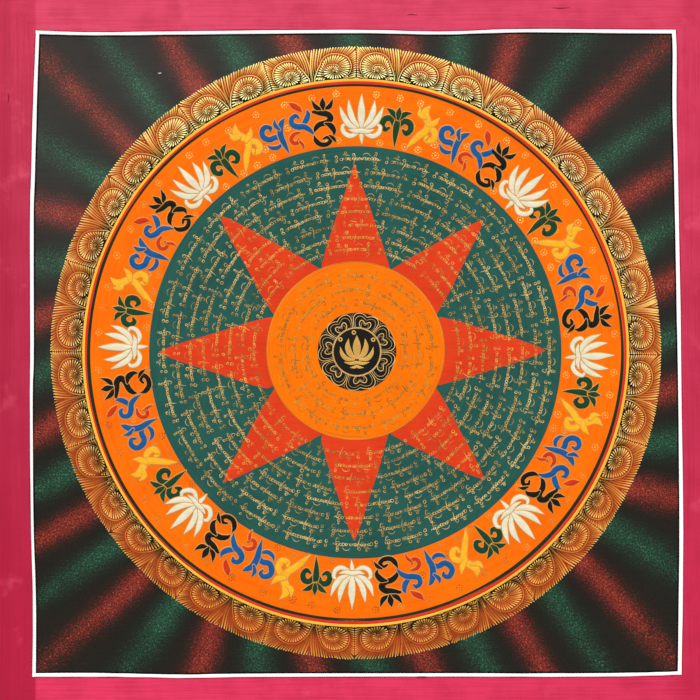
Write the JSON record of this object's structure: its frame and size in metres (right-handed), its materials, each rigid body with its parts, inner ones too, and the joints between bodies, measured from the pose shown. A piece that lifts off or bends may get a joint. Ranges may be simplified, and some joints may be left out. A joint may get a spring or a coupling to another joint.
{
  "type": "painted mandala thangka canvas",
  "caption": "Square unmounted painted cotton canvas with a round mandala and a painted border, lying face up.",
  "frame": {"origin": "on the surface that the cloth lies on, below the middle of its outline", "axes": "+Z out of the painted face, +Y towards the painting's top edge, +X to its right"},
  "size_m": [0.5212, 0.5214, 0.0048],
  "materials": {
    "painted_cotton": "matt hand-laid paint on primed cotton, with fine gold paint lines"
  },
  "bodies": {
    "root": {"painted_canvas": "painted_cotton"}
  },
  "joints": []
}
